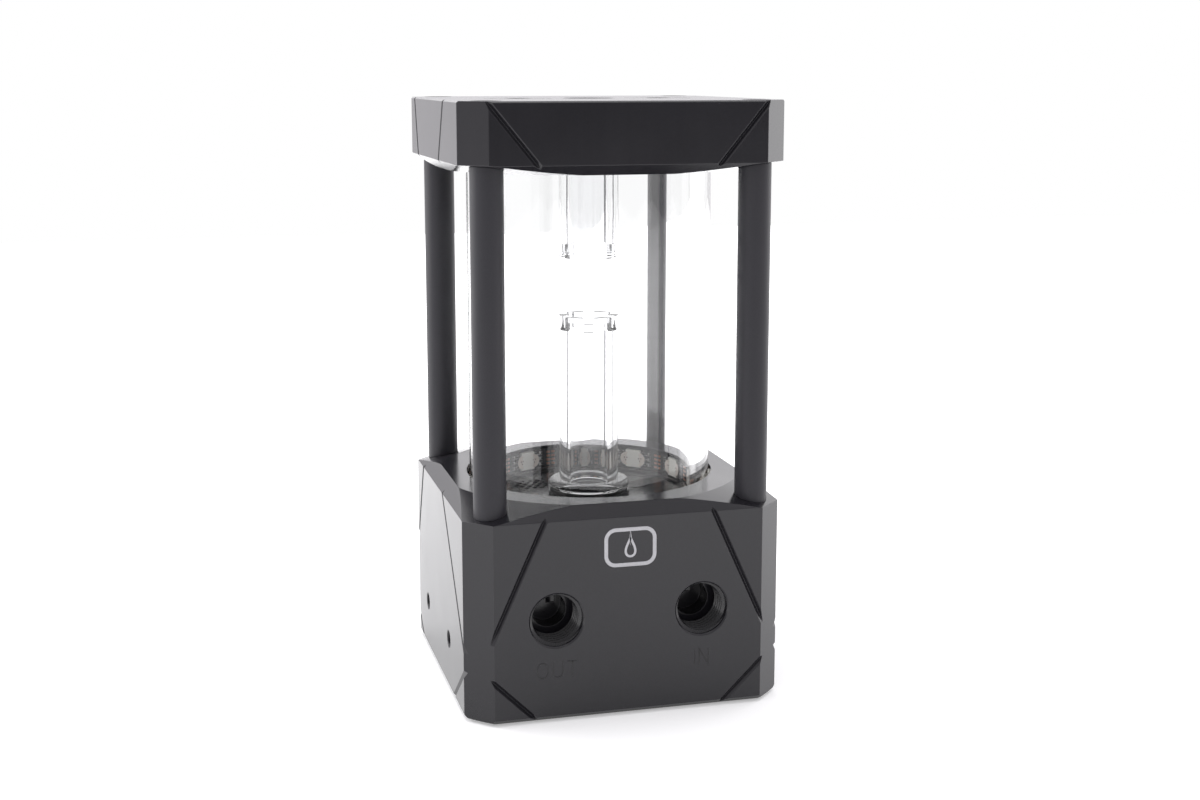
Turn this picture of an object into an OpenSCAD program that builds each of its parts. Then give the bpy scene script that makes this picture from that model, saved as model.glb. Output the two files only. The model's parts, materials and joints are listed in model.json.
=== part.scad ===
// Coolant pump reservoir: a square pump block, a clear tube between four
// struts, and a cap with the filling ports. +Z is up, the origin is the middle
// of the footprint on the surface that the unit stands on, sizes in mm.

/* [Block] */
// Width and depth of the block and of the cap
body_w = 80; // [78:0.5:90]
// Leg of the vertical corner chamfers
corner_cut = 6.3; // [4:0.1:7.5]
// Height of the block's side faces
base_h = 49.5; // [48:0.1:60]
// Height of the raised deck above the side faces
deck_rise = 3; // [1.5:0.1:4]
// Radius of the circle that bounds the deck and the cap's belly
deck_r = 39.2; // [38:0.1:41]
// Height that the rubber feet lift the block
foot_h = 0.5; // [0.3:0.1:3]
// Bevel along the block's lower edges
bottom_bevel = 1.1; // [0.3:0.1:1.5]
// Radius of the rounding under the block's corners
corner_round = 1.5; // [1:0.1:5]

/* [Cap] */
// Height of the cap's side faces
cap_h = 14.8; // [13:0.1:20]
// Depth of the cap's belly below its side faces
belly_drop = 2.4; // [1.5:0.1:3.5]
// Clear height between the deck and the belly
open_h = 78.8; // [60:0.1:200]
// Depth of the tube's socket in the belly
socket_depth = 5.9; // [4:0.1:7]
// Bevel along the cap's upper edges
cap_bevel = 0.4; // [0.2:0.1:1]

/* [Engraved lines] */
// Width of an engraved line
line_w = 1.5; // [1:0.1:2]
// Depth of an engraved line
line_depth = 0.8; // [0.3:0.1:1.2]

/* [Reservoir tube] */
// Outer diameter of the glass tube
tube_od = 62.5; // [60:0.1:63]
// Wall of the glass tube
tube_wall = 4.5; // [3:0.1:5]
// Radial gap round the glass tube in its sockets
tube_gap = 0.3; // [0.2:0.05:0.5]
// Thickness of the flat rings under and over the glass tube
ring_t = 1.6; // [1.2:0.1:2.5]
// Depth of the groove that holds the lower flat ring
ring_groove = 1; // [0.5:0.1:1.1]

/* [Pocket and lights] */
// Depth of the pocket below the deck
pocket_depth = 6.5; // [6:0.1:8]
// Radius of the opening in the deck
pocket_r = 32; // [31.6:0.1:32.5]
// Radius of the undercut that holds the light strip
undercut_r = 33.4; // [33.2:0.1:34]
// Thickness of the deck's lip over the undercut
lip_t = 1; // [0.6:0.1:1.2]
// Number of lamps on the strip
lamp_count = 11; // [6:1:13]
// Side of a square lamp
lamp_w = 5; // [3.5:0.1:5]
// Thickness of a lamp
lamp_t = 1.4; // [0.8:0.1:1.5]
// Thickness of the flexible strip
strip_t = 0.25; // [0.15:0.05:0.3]
// Angle that the strip covers
strip_angle = 346; // [300:1:350]
// Direction of the strip's middle, from the right towards the back
strip_turn = 81; // [0:1:360]

/* [Struts] */
// Diameter of a strut
strut_d = 8; // [6:0.1:9]
// Distance of a strut's axis from the two faces next to it
strut_inset = 7; // [6.5:0.1:8]
// Shank diameter of the strut screws
strut_screw_d = 4; // [3:0.5:4]
// Length of the lower strut screws below their heads
lower_screw_l = 26; // [24:1:30]
// Length of the upper strut screws below their heads
upper_screw_l = 20; // [18:1:26]

/* [Inner tubes] */
// Outer diameter of the inner tubes
inner_od = 15.4; // [14:0.1:17]
// Bore of the inner tubes
inner_bore = 10; // [8:0.1:11]
// Height of the riser tube's end above the deck
riser_h = 40.7; // [20:0.1:55]
// Depth of the drop tube's end below the belly
drop_h = 23; // [10:0.5:30]
// Number of notches round each tube's end
notch_count = 6; // [3:1:8]
// Turn of the notches round the tube
notch_turn = 15; // [0:1:60]
// Width of a notch
notch_w = 2.6; // [2:0.1:4]
// Depth of a notch
notch_h = 3.6; // [2:0.1:6]
// Diameter of the riser tube's flange
flange_d = 21.2; // [19:0.1:23]
// Thickness of the riser tube's flange
flange_t = 2.4; // [1.4:0.1:3]
// Thickness of the ring under the flange
flange_ring_t = 0.7; // [0.5:0.1:1]

/* [Ports] */
// Major diameter of the G1/4 thread
port_d = 13.157; // [13:0.001:13.2]
// Diameter of a port's chamfered mouth
mouth_d = 13.9; // [13.6:0.1:14.4]
// Length of the thread in the front ports
port_thread_l = 9; // [8:0.1:9.5]
// Diameter of the bore behind the threads of the front ports
port_bore_d = 8.7; // [8:0.1:9]
// Depth of the front ports
port_depth = 14.5; // [13:0.1:14.5]
// Distance between the two ports in the front face, and of the cap's ports
port_pitch = 36.6; // [34:0.1:38]
// Height of the front ports above the block's underside
port_z = 25; // [23:0.1:26]
// Diameter of the bracket holes in the left face
bracket_d = 4.2; // [3.2:0.1:5]
// Distance between the bracket holes
bracket_pitch = 32; // [25:0.5:34]
// Height of the bracket holes above the block's underside
bracket_z = 13.3; // [11:0.1:15]
// Depth of the bracket holes
bracket_depth = 7; // [4:0.1:7.5]

/* [Plugs] */
// Diameter of a plug's head
plug_head_d = 16.8; // [15.5:0.1:17]
// Thickness of a plug's head
plug_head_t = 1.6; // [1.2:0.1:2]
// Thickness of the O-ring under a plug's head
plug_ring_t = 1.6; // [1.4:0.1:2]
// Length of a plug's thread
plug_thread_l = 6.5; // [5:0.1:7]
// Size across the flats of a plug's hex socket
plug_hex = 6; // [4:0.5:8]
// Radial running clearance of a thread in its port
thread_gap = 0.06; // [0.03:0.01:0.09]

/* [Pump] */
// Radius of the pump's cavity in the block
cavity_r = 28; // [27:0.1:28.5]
// Height of the volute plate
volute_h = 11; // [10:0.1:12]
// Radius of the impeller
impeller_r = 17.3; // [14:0.1:17.5]
// Number of impeller vanes
vane_count = 6; // [4:1:8]
// Radius of the rotor magnet
magnet_r = 11.3; // [9:0.1:11.5]
// Radius of the fixed shaft
shaft_r = 1.5; // [1:0.1:2]
// Radial running clearance of the bush on the shaft
bush_gap = 0.05; // [0.02:0.01:0.09]
// Number of stator teeth
tooth_count = 6; // [6:3:9]

/* [Hidden] */
$fn = 64;

black = [0.09, 0.09, 0.1];
seal_black = [0.03, 0.03, 0.03];
steel = [0.6, 0.6, 0.62];
clear = [0.85, 0.88, 0.95, 0.35];
eps = 0.01;

// Plan
half_w = body_w / 2;
corner_out = norm([half_w, half_w - corner_cut]) + 0.3;
edge_drop = 0.2;
line_over = 1;
line_foot = 0.8;
strut_xy = half_w - strut_inset;
port_x = port_pitch / 2;

// Levels
block_z = foot_h;
face_z = block_z + base_h;
deck_z = face_z + deck_rise;
floor_z = deck_z - pocket_depth;
belly_z = deck_z + open_h;
cap_z = belly_z + belly_drop;
top_z = cap_z + cap_h;
ceiling_z = belly_z + socket_depth;
port_axis_z = block_z + port_z;

// Tube and its flat rings
tube_r = tube_od / 2;
tube_bore_r = tube_r - tube_wall;
ring_r = tube_r - 0.25;
ring_bore_r = tube_bore_r + 0.25;
ring_z = floor_z - ring_groove;
glass_z0 = ring_z + ring_t;
glass_z1 = ceiling_z - ring_t;

// Floor plate and the water channels under it
plate_t = 2;
plate_r = ring_bore_r - 0.4;
plate_gap = 0.1;
boss_h = 1.2;
channel_h = 4.2;
channel_w = 7;
riser_r = 3.8;
riser_lap = 0.3;
web_t = 1.3;
sump_r = 6.1;
grille_r = 7.3;
grille_t = 1.2;
grille_xy = [-12.7, 12.7];
grille_pitch = 2.2;
grille_hole_r = 0.75;
mark_xy = [13.4, 9];
mark_r = 7.2;
mark_w = 0.6;
inlet_w = 2 * sump_r - 2;
channel_top = floor_z - plate_t;
channel_z = channel_top - channel_h;
volute_top = channel_z - web_t;
volute_z = volute_top - volute_h;
riser_y = port_depth + riser_lap - riser_r - half_w;
flange_z = floor_z + boss_h + flange_ring_t;
inner_r = inner_od / 2;
inner_bore_r = inner_bore / 2;
spigot_r = inner_r - 1.2;
spigot_l = 2.4;
slip = 0.05;
drop_seat = 3;

// Screws
m3_r = 1.5;
m3_head_r = 2.75;
m3_head_h = 1.8;
cover_t = 2.9;
cover_half = 33;
cover_corner = 58;
cover_screw_xy = 26.5;
cover_screw_l = 9;
foot_xy = 19;
foot_r = 5;
foot_sink = 1;
strut_head_r = strut_screw_d / 2 + 1.5;
strut_head_h = strut_screw_d;
lower_hold = 18;
head_sink = 1;
head_gap = 0.3;
screw_gap = 0.2;
lower_head_z = face_z - lower_hold;
upper_head_z = top_z - strut_head_h - head_sink;
bracket_y = 3.2;
bracket_mouth = 0.3;

// Pump
motor_flange_r = 31.5;
motor_flange_h = 2.5;
motor_z = block_z + cover_t + 0.1;
motor_r = cavity_r - 0.2;
motor_wall = 2.2;
motor_floor_t = 2.5;
motor_screw_r = 29.7;
motor_screw_l = 8.5;
can_flange_t = 1;
can_wall = 0.7;
can_r = magnet_r + 0.7;
can_z = motor_z + 6.5;
board_z = motor_z + 4;
board_t = 1.6;
board_r = motor_r - motor_wall - 1;
board_ledge_r = board_r - 3;
stator_z = motor_z + 9;
stator_h = 10;
stator_r = motor_r - motor_wall - 0.1;
yoke_t = 4;
tooth_w = 5;
shoe_w = 8.5;
coil_t = 1.5;
tooth_tip_r = can_r + can_wall + 0.5;
chamber_h = 5.8;
chamber_r = 19;
eye_r = 6.5;
spider_t = 1.2;
spider_hub_r = 3;
impeller_z = volute_z + 0.5;
impeller_disc_t = 1.2;
vane_h = 3.4;
vane_t = 1.4;
bush_r = shaft_r + 1.9;
bush_lift = 2.5;
magnet_lift = 2.8;
neck_r = 6;
seal_cord_r = 0.9;
outlet_r = 2.3;
outlet_x = -port_x + 1.8;
outlet_z = volute_z + 2 * seal_cord_r + outlet_r + 0.5;
outlet_y = port_depth - outlet_r - half_w;
outlet_rise_r = outlet_r + 0.3;
plate_seal_r = cavity_r - 2.2;
can_seal_r = chamber_r + 3.4;
grommet_r = 4;
grommet_lip_r = 5.5;
grommet_lip_t = 1;
grommet_z = motor_z + motor_flange_h + 6;

// ---------- shared shapes ----------

// Square with four cut corners
module cut_square(half, cut) {
  m = half - cut;
  polygon([[-half, -m], [-m, -half], [m, -half], [half, -m],
           [half, m], [m, half], [-m, half], [-half, m]]);
}

// The four corners of a square pattern
module at_corners(d) {
  for (x = [-d, d], y = [-d, d]) translate([x, y, 0]) children();
}

// V-shaped line engraved in the face at y = -half_w, from a to b in [x, z]
module front_line(a, b) {
  run = b - a;
  angle = atan2(run[1], run[0]);
  spread = line_w / 2 * (1 + line_over / line_depth);
  translate([a[0], -half_w, a[1]])
    rotate([0, -angle, 0])
      translate([-line_over, 0, 0])
        rotate([90, 0, 90])
          linear_extrude(norm(run) + 2 * line_over)
            polygon([[line_depth, 0], [-line_over, spread], [-line_over, -spread]]);
}

// The same line in the left face, from a to b in [y, z]
module left_line(a, b) {
  rotate([0, 0, -90]) front_line([-a[0], a[1]], [-b[0], b[1]]);
}

// Slope of one raised side: a prism with bevelled upper edges along X
module bevel_prism(h, rise, foot_bevel) {
  side = [
    [-half_w + foot_bevel, 0], [half_w - foot_bevel, 0],
    [half_w, foot_bevel], [half_w, h],
    [half_w - rise, h + rise], [-half_w + rise, h + rise],
    [-half_w, h], [-half_w, foot_bevel]
  ];
  rotate([90, 0, 90])
    translate([0, 0, -half_w - 1])
      linear_extrude(body_w + 2) polygon(side);
}

// Body of the block and of the cap: chamfered prism, side bevels up to a
// round deck, shallow cone down to the corners, round or bevelled foot.
module deck_body(h, rise, foot_bevel, foot_round) {
  steps = 5;
  round_pts = [for (i = [0:steps]) let (t = 90 * i / steps)
    [corner_out - foot_round * (1 - sin(t)), foot_round * (1 - cos(t))]];
  slope_pts = [[corner_out, h - edge_drop], [deck_r, h + rise], [0, h + rise]];
  profile = concat([[0, 0]], round_pts, slope_pts);
  intersection() {
    linear_extrude(h + rise) cut_square(half_w, corner_cut);
    rotate_extrude($fn = 128) polygon(profile);
    bevel_prism(h, rise, foot_bevel);
    rotate([0, 0, 90]) bevel_prism(h, rise, foot_bevel);
  }
}

// Port bore with a chamfered mouth, pointing down from z = 0
module port_cut(depth) {
  mouth = (mouth_d - port_d) / 2;
  translate([0, 0, -depth]) cylinder(r = port_d / 2, h = depth + eps);
  translate([0, 0, -mouth]) cylinder(r1 = port_d / 2, r2 = mouth_d / 2, h = mouth);
  translate([0, 0, -eps / 2]) cylinder(r = mouth_d / 2, h = 1);
}

// Socket-head screw, head downward at z = 0, shank upward
module cap_screw(r, l, head_r, head_h) {
  difference() {
    union() {
      cylinder(r = head_r, h = head_h);
      cylinder(r = r, h = head_h + l);
    }
    translate([0, 0, -eps]) cylinder(r = r * 0.86, h = head_h * 0.55, $fn = 6);
  }
}

// O-ring of round cord about Z, centred on z = 0
module cord_ring(r, cord_r) {
  rotate_extrude() translate([r, 0]) circle(r = cord_r, $fn = 32);
}

// Flat ring about Z
module flat_ring(r, bore_r, h) {
  difference() {
    cylinder(r = r, h = h, $fn = 96);
    translate([0, 0, -1]) cylinder(r = bore_r, h = h + 2, $fn = 96);
  }
}

// ---------- block ----------

module block_lines() {
  low = block_z + line_foot;
  edge = half_w - corner_cut + 0.6;
  for (turn = [0, 180], s = [-1, 1]) rotate([0, 0, turn]) {
    front_line([s * 21.2, face_z], [s * edge, low + 19.6]);
    front_line([s * edge, low + 10.2], [s * 23.1, block_z]);
  }
  for (m = [0, 1]) mirror([m, 0, 0]) {
    left_line([-6.2, face_z], [-edge, low + 16.2]);
    left_line([23.7, face_z], [edge, low + 25.8]);
    left_line([-edge, low + 11], [-18.7, block_z]);
    left_line([edge, low + 5.4], [26.4, block_z]);
  }
}

// Channel from the inlet port up and across to the riser tube
module inlet_passage() {
  bend = [port_x, riser_y];
  translate([bend[0], bend[1], port_axis_z])
    cylinder(r = riser_r, h = channel_top - port_axis_z - 1);
  translate([0, 0, channel_z])
    linear_extrude(channel_h - 1)
      translate(bend) rotate(atan2(-bend[1], -bend[0]))
        translate([0, -channel_w / 2]) square([norm(bend), channel_w]);
  translate([0, 0, channel_z]) cylinder(r = inner_bore_r, h = channel_h + eps);
}

module base_housing() color(black) {
  recess_half = cover_half + 0.2;
  difference() {
    translate([0, 0, block_z])
      deck_body(base_h, deck_rise, bottom_bevel, corner_round);
    // pocket, its undercut, the ring groove and the floor plate's recess
    translate([0, 0, floor_z]) cylinder(r = pocket_r, h = pocket_depth + 1, $fn = 96);
    translate([0, 0, floor_z])
      cylinder(r = undercut_r, h = pocket_depth - lip_t, $fn = 96);
    translate([0, 0, ring_z])
      cylinder(r = tube_r + tube_gap, h = ring_groove + eps, $fn = 96);
    translate([0, 0, channel_top])
      cylinder(r = plate_r + plate_gap, h = plate_t, $fn = 96);
    // pump cavity and the recess of the bottom cover
    translate([0, 0, block_z + cover_t])
      cylinder(r = cavity_r, h = volute_top - block_z - cover_t, $fn = 96);
    translate([0, 0, block_z + cover_t])
      cylinder(r = motor_flange_r + 0.2, h = motor_flange_h + 0.2, $fn = 96);
    translate([0, 0, block_z - 1])
      linear_extrude(cover_t + 1.1)
        cut_square(recess_half, 2 * recess_half - cover_corner - 0.5);
    // water ways
    inlet_passage();
    translate([grille_xy[0], grille_xy[1], volute_top - 1])
      cylinder(r = sump_r, h = channel_top - volute_top + 2);
    for (s = [-1, 1])
      translate([s * port_x, -half_w, port_axis_z]) rotate([90, 0, 0]) {
        port_cut(port_thread_l);
        translate([0, 0, -port_depth]) cylinder(r = port_bore_d / 2, h = port_depth);
      }
    translate([outlet_x, outlet_y, port_axis_z])
      cylinder(r = outlet_rise_r, h = outlet_z - port_axis_z + outlet_r / 2);
    translate([outlet_x, outlet_y, outlet_z])
      rotate([-90, 0, 0]) cylinder(r = outlet_r, h = half_w - port_depth);
    // fastener holes
    at_corners(strut_xy) {
      translate([0, 0, block_z - 1])
        cylinder(r = strut_head_r + head_gap, h = lower_head_z + strut_head_h - block_z + 1);
      cylinder(r = strut_screw_d / 2 + screw_gap, h = deck_z);
    }
    at_corners(cover_screw_xy)
      translate([0, 0, block_z]) cylinder(r = m3_r, h = cover_t + cover_screw_l);
    for (t = [45:90:315]) rotate(t)
      translate([motor_screw_r, 0, motor_z]) cylinder(r = m3_r, h = motor_screw_l + 0.5);
    for (s = [-1, 1])
      translate([-half_w, bracket_y + s * bracket_pitch / 2, block_z + bracket_z])
        rotate([0, 90, 0]) {
          r = bracket_d / 2;
          translate([0, 0, -1]) cylinder(r = r, h = bracket_depth + 1, $fn = 48);
          translate([0, 0, -eps]) cylinder(r1 = r + bracket_mouth, r2 = r, h = bracket_mouth, $fn = 48);
        }
    // cable way at the back
    translate([0, half_w + 1, grommet_z]) rotate([90, 0, 0]) {
      cylinder(r = grommet_r, h = half_w - motor_r + 3);
      cylinder(r = grommet_lip_r, h = grommet_lip_t + 1);
    }
    block_lines();
  }
}

module bottom_cover() color(black) difference() {
  translate([0, 0, block_z])
    linear_extrude(cover_t) cut_square(cover_half, 2 * cover_half - cover_corner);
  at_corners(cover_screw_xy) {
    translate([0, 0, block_z - 1]) cylinder(r = m3_head_r + 0.2, h = m3_head_h + 1.1);
    cylinder(r = m3_r + screw_gap, h = block_z + cover_t + 1);
  }
  at_corners(foot_xy)
    translate([0, 0, block_z - 1]) cylinder(r = foot_r + 0.1, h = foot_sink + 1);
}

module cover_screws() color(steel)
  at_corners(cover_screw_xy)
    translate([0, 0, block_z + 0.1])
      cap_screw(m3_r, cover_screw_l - 1, m3_head_r, m3_head_h);

module rubber_feet() color(seal_black)
  at_corners(foot_xy) cylinder(r = foot_r, h = block_z + foot_sink);

module cable_grommet() color(seal_black)
  translate([0, half_w, grommet_z]) rotate([90, 0, 0]) difference() {
    union() {
      cylinder(r = grommet_lip_r, h = grommet_lip_t);
      cylinder(r = grommet_r, h = half_w - cavity_r);
    }
    translate([0, 0, -1]) cylinder(r = 2.2, h = half_w);
  }

// ---------- pump ----------

module motor_housing() color([0.13, 0.13, 0.14]) difference() {
  can_seat = volute_z - can_flange_t;
  union() {
    translate([0, 0, motor_z]) cylinder(r = motor_r, h = can_seat - motor_z, $fn = 96);
    translate([0, 0, motor_z]) cylinder(r = motor_flange_r, h = motor_flange_h, $fn = 96);
  }
  translate([0, 0, board_z])
    cylinder(r = motor_r - motor_wall, h = 40, $fn = 96);
  translate([0, 0, motor_z + motor_floor_t]) cylinder(r = board_ledge_r, h = 40, $fn = 96);
  for (t = [45:90:315]) rotate(t)
    translate([motor_screw_r, 0, motor_z - 1])
      cylinder(r = m3_r + screw_gap, h = motor_flange_h + 2);
  translate([0, half_w, grommet_z])
    rotate([90, 0, 0]) cylinder(r = grommet_r, h = half_w - motor_r + motor_wall + 1);
}

module motor_screws() color(steel)
  for (t = [45:90:315]) rotate(t)
    translate([motor_screw_r, 0, motor_z]) cylinder(r = m3_r, h = motor_screw_l);

module circuit_board() color([0.05, 0.25, 0.12]) difference() {
  translate([0, 0, board_z]) cylinder(r = board_r, h = board_t, $fn = 96);
  translate([0, board_r + 2, board_z - 1]) cylinder(r = 6, h = board_t + 2);
}

module stator_core() color([0.35, 0.35, 0.37])
  translate([0, 0, stator_z]) {
    difference() {
      union() {
        flat_ring(stator_r, stator_r - yoke_t, stator_h);
        for (i = [0:tooth_count - 1]) rotate(i * 360 / tooth_count) {
          translate([tooth_tip_r - 0.6, -tooth_w / 2, 0])
            cube([stator_r - 1 - tooth_tip_r, tooth_w, stator_h]);
          translate([tooth_tip_r - 0.6, -shoe_w / 2, 0]) cube([2, shoe_w, stator_h]);
        }
      }
      translate([0, 0, -1]) cylinder(r = tooth_tip_r, h = stator_h + 2);
    }
  }

module stator_windings() color([0.7, 0.35, 0.12])
  for (i = [0:tooth_count - 1]) rotate(i * 360 / tooth_count)
    translate([tooth_tip_r + 1.9, 0, stator_z]) difference() {
      l = stator_r - yoke_t - tooth_tip_r - 2.5;
      translate([0, -tooth_w / 2 - coil_t, -coil_t])
        cube([l, tooth_w + 2 * coil_t, stator_h + 2 * coil_t]);
      translate([-1, -tooth_w / 2, 0]) cube([l + 2, tooth_w, stator_h]);
    }

module separation_can() color([0.75, 0.72, 0.65]) {
  flange_z0 = volute_z - can_flange_t;
  boss_top = can_z + 2.2;
  difference() {
    union() {
      translate([0, 0, can_z]) cylinder(r = can_r + can_wall, h = volute_z - can_z, $fn = 96);
      translate([0, 0, flange_z0]) cylinder(r = motor_r, h = can_flange_t, $fn = 96);
    }
    difference() {
      translate([0, 0, can_z + can_wall]) cylinder(r = can_r, h = 40, $fn = 96);
      translate([0, 0, can_z]) cylinder(r = bush_r, h = boss_top - can_z);
    }
    translate([0, 0, can_z + can_wall]) cylinder(r = shaft_r, h = 40);
  }
}

module can_seal() color(seal_black)
  translate([0, 0, volute_z + seal_cord_r]) cord_ring(can_seal_r, seal_cord_r);

module shaft_pin() color([0.93, 0.93, 0.9])
  translate([0, 0, can_z + can_wall])
    cylinder(r = shaft_r, h = volute_z + chamber_h + spider_t - can_z - can_wall);

module bearing_bush() color([0.3, 0.3, 0.32]) difference() {
  z0 = can_z + bush_lift;
  translate([0, 0, z0]) cylinder(r = bush_r, h = impeller_z + 2 - z0);
  cylinder(r = shaft_r + bush_gap, h = deck_z);
}

module rotor_magnet() color([0.25, 0.25, 0.27]) difference() {
  z0 = can_z + magnet_lift;
  translate([0, 0, z0]) cylinder(r = magnet_r, h = impeller_z - 2 - z0, $fn = 96);
  cylinder(r = bush_r, h = deck_z);
}

// Backward curved vane: an arc strip from the eye to just inside the rim
module vane() {
  bow_r = impeller_r * 0.75;
  sink = 0.4;
  translate([0, 0, -sink]) intersection() {
    translate([bow_r, 0, 0]) flat_ring(bow_r, bow_r - vane_t, vane_h + sink);
    flat_ring(impeller_r - 0.3, eye_r - 1, vane_h + sink);
    cube([impeller_r, impeller_r, vane_h + sink]);
  }
}

module impeller() color([0.85, 0.85, 0.83]) difference() {
  disc_top = impeller_z + impeller_disc_t;
  union() {
    translate([0, 0, impeller_z - 2]) cylinder(r = neck_r, h = 2.5);
    translate([0, 0, impeller_z]) cylinder(r = impeller_r, h = impeller_disc_t, $fn = 96);
    for (i = [0:vane_count - 1]) rotate(i * 360 / vane_count)
      translate([0, 0, disc_top]) vane();
    translate([0, 0, impeller_z]) cylinder(r = bush_r + 1, h = impeller_disc_t + vane_h - 0.2);
  }
  cylinder(r = bush_r, h = impeller_z + 2);
  cylinder(r = shaft_r + 0.3, h = deck_z);
}

module volute_plate() color([0.12, 0.12, 0.13]) {
  eye_z = volute_z + chamber_h;
  difference() {
    translate([0, 0, volute_z]) cylinder(r = cavity_r - 0.1, h = volute_h, $fn = 96);
    translate([0, 0, volute_z - 1]) cylinder(r = chamber_r, h = chamber_h + 1, $fn = 96);
    // eye, closed by a spider that holds the shaft
    difference() {
      translate([0, 0, eye_z - 1]) cylinder(r = eye_r, h = 20);
      translate([0, 0, eye_z]) {
        cylinder(r = spider_hub_r, h = spider_t);
        for (t = [0:120:240]) rotate(t)
          translate([0, -1, 0]) cube([eye_r + 1, 2, spider_t]);
      }
    }
    translate([0, 0, eye_z - 1]) cylinder(r = shaft_r, h = 20);
    // way from the sump to the eye
    translate([0, 0, eye_z + spider_t])
      linear_extrude(volute_h) {
        rotate(atan2(grille_xy[1], grille_xy[0]))
          translate([0, -inlet_w / 2]) square([norm(grille_xy), inlet_w]);
        translate(grille_xy) circle(r = sump_r);
      }
    // outlet
    translate([outlet_x, -8, outlet_z])
      rotate([90, 0, 0]) cylinder(r = outlet_r, h = cavity_r);
    translate([0, 0, volute_z - eps])
      rotate_extrude() translate([can_seal_r - 1.1, 0]) square([2.2, 2 * seal_cord_r + eps]);
    translate([0, 0, volute_top - 2 * seal_cord_r])
      rotate_extrude() translate([plate_seal_r - 1.1, 0]) square([2.2, 4]);
  }
}

module plate_seal() color(seal_black)
  translate([0, 0, volute_top - seal_cord_r]) cord_ring(plate_seal_r, seal_cord_r);

// ---------- pocket ----------

module floor_plate() color(black) difference() {
  union() {
    translate([0, 0, channel_top]) cylinder(r = plate_r, h = plate_t, $fn = 96);
    translate([0, 0, channel_top]) cylinder(r = flange_d / 2, h = plate_t + boss_h, $fn = 96);
  }
  translate([0, 0, channel_top - 1])
    cylinder(r = spigot_r + slip, h = plate_t + boss_h + 2);
  translate([grille_xy[0], grille_xy[1], channel_top - 1])
    cylinder(r = sump_r, h = plate_t + 2);
  translate([grille_xy[0], grille_xy[1], floor_z - grille_t])
    cylinder(r = grille_r + slip, h = 10);
  // turned ring opposite the grille
  translate([0, 0, floor_z - 0.4]) difference() {
    translate(mark_xy) flat_ring(mark_r, mark_r - mark_w, 1);
    cylinder(r = flange_d / 2, h = 3);
  }
}

module floor_grille() color([0.05, 0.05, 0.05])
  translate([grille_xy[0], grille_xy[1], floor_z - grille_t]) difference() {
    rows = ceil(sump_r / grille_pitch);
    cylinder(r = grille_r, h = grille_t);
    for (j = [-rows:rows], i = [-rows:rows]) {
      p = grille_pitch * [i + abs(j % 2) / 2, j * sin(60)];
      if (norm(p) < sump_r - grille_hole_r / 2)
        translate([p[0], p[1], -1]) cylinder(r = grille_hole_r, h = grille_t + 2, $fn = 16);
    }
  }

module light_strip() color([0.05, 0.05, 0.05])
  translate([0, 0, floor_z + 0.2])
    rotate(strip_turn - strip_angle / 2)
      rotate_extrude(angle = strip_angle, $fn = 96)
        translate([undercut_r - 0.1 - strip_t, 0])
          square([strip_t, pocket_depth - lip_t - 0.4]);

module strip_lamps() color([0.95, 0.93, 0.88]) {
  step = strip_angle / lamp_count;
  face_r = undercut_r - 0.1 - strip_t;
  sag = face_r - sqrt(face_r * face_r - lamp_w * lamp_w / 4);
  for (i = [0:lamp_count - 1])
    rotate(strip_turn + (i - (lamp_count - 1) / 2) * step)
      translate([face_r - sag - lamp_t, -lamp_w / 2, floor_z + 0.25])
        cube([lamp_t, lamp_w, lamp_w]);
}

// ---------- reservoir ----------

module tube_seal_lower() color(seal_black)
  translate([0, 0, ring_z]) flat_ring(ring_r, ring_bore_r, ring_t);

module glass_tube() color(clear)
  translate([0, 0, glass_z0]) flat_ring(tube_r, tube_bore_r, glass_z1 - glass_z0);

module tube_seal_upper() color(seal_black)
  translate([0, 0, glass_z1]) flat_ring(ring_r, ring_bore_r, ring_t);

// Notches that open the end of an inner tube at z = 0
module end_notches() {
  for (i = [0:notch_count - 1]) rotate(notch_turn + i * 360 / notch_count)
    translate([0, -notch_w / 2, -notch_h]) cube([inner_od, notch_w, notch_h + 1]);
}

module riser_tube() color(clear) difference() {
  rim = flange_t / 2;
  riser_top = deck_z + riser_h;
  union() {
    translate([0, 0, flange_z - spigot_l]) cylinder(r = spigot_r, h = spigot_l + 1);
    translate([0, 0, flange_z]) cylinder(r = inner_r, h = riser_top - flange_z);
    translate([0, 0, flange_z]) cylinder(r = flange_d / 2 - rim, h = flange_t);
    translate([0, 0, flange_z + rim]) cord_ring(flange_d / 2 - rim, rim);
  }
  cylinder(r = inner_bore_r, h = riser_top + 1);
  translate([0, 0, riser_top]) end_notches();
}

module riser_seal() color(seal_black)
  translate([0, 0, floor_z + boss_h])
    flat_ring(flange_d / 2 - 0.4, spigot_r + 0.3, flange_ring_t);

module drop_tube() color(clear) difference() {
  drop_end = belly_z - drop_h;
  translate([0, 0, drop_end]) cylinder(r = inner_r, h = ceiling_z + drop_seat - drop_end);
  translate([0, 0, drop_end - 1]) cylinder(r = inner_bore_r, h = 100);
  translate([0, 0, drop_end]) mirror([0, 0, 1]) end_notches();
}

// ---------- struts and cap ----------

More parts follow.
